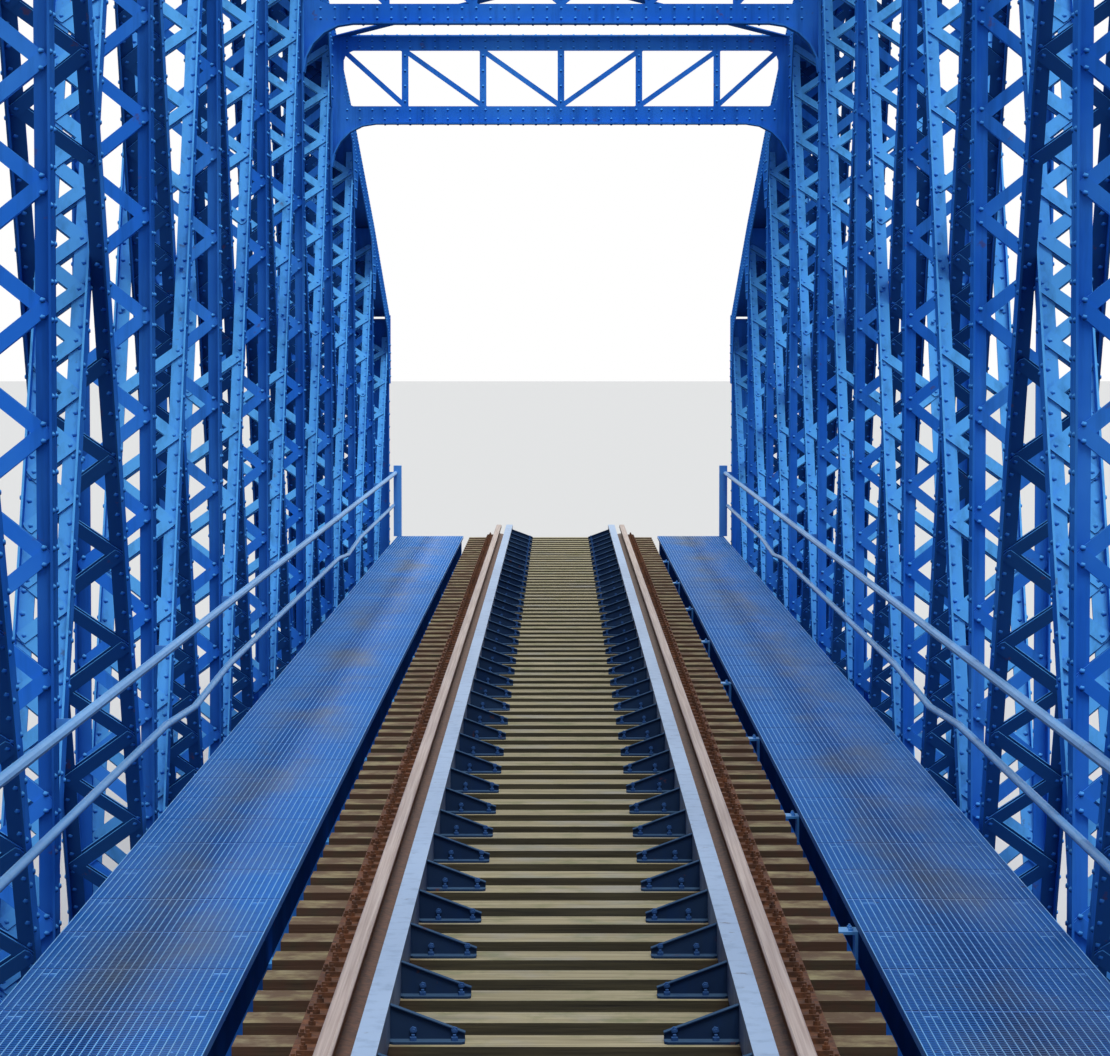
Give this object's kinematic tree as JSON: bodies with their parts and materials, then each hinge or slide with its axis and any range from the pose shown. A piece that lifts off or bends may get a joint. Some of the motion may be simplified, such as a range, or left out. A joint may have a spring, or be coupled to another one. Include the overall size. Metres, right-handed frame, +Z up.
{
  "type": "railway truss bridge span",
  "caption": "Riveted through-truss railway bridge span with arched lattice side trusses, overhead struts, sleepered track, guard rails, grating walkways and handrails.",
  "frame": {"origin": "centre of the span's footprint at the level its bearings stand on", "axes": "+Z up, +Y along the track to the roller end, +X to the right when looking along +Y"},
  "size_m": [5.81, 56.5, 9.7204],
  "materials": {
    "blue_paint": "weathered gloss paint",
    "rail_paint": "gloss paint",
    "grating_paint": "worn paint with dirt",
    "guard_paint": "faded paint",
    "bracket_paint": "dark paint",
    "rail_steel": "rusted sides and worn running face",
    "sleeper_timber": "weathered timber",
    "bearing_iron": "painted casting"
  },
  "bodies": {
    "root": {"left_top_chord": "blue_paint", "right_top_chord": "blue_paint", "left_bottom_chord": "blue_paint", "right_bottom_chord": "blue_paint", "left_posts": "blue_paint", "right_posts": "blue_paint", "left_end_posts": "blue_paint", "right_end_posts": "blue_paint", "left_inner_diagonals": "blue_paint", "right_inner_diagonals": "blue_paint", "left_outer_diagonals": "blue_paint", "right_outer_diagonals": "blue_paint", "left_stringers": "blue_paint", "right_stringers": "blue_paint", "left_running_rail": "rail_steel", "right_running_rail": "rail_steel", "left_guard_rail": "guard_paint", "right_guard_rail": "guard_paint", "left_guard_brackets": "bracket_paint", "right_guard_brackets": "bracket_paint", "left_walkway": "grating_paint", "right_walkway": "grating_paint", "left_walkway_bearers": "blue_paint", "right_walkway_bearers": "blue_paint", "left_top_handrail": "rail_paint", "right_top_handrail": "rail_paint", "left_lower_handrail": "rail_paint", "right_lower_handrail": "rail_paint", "near_portal_strut": "blue_paint", "far_portal_strut": "blue_paint", "sway_struts": "blue_paint", "top_laterals": "blue_paint", "floor_beams": "blue_paint", "bottom_laterals": "blue_paint", "sleepers": "sleeper_timber", "newels": "rail_paint", "fixed_bearings": "bearing_iron", "roller_beds": "bearing_iron", "rollers": "bearing_iron", "roller_saddles": "bearing_iron"}
  },
  "joints": []
}
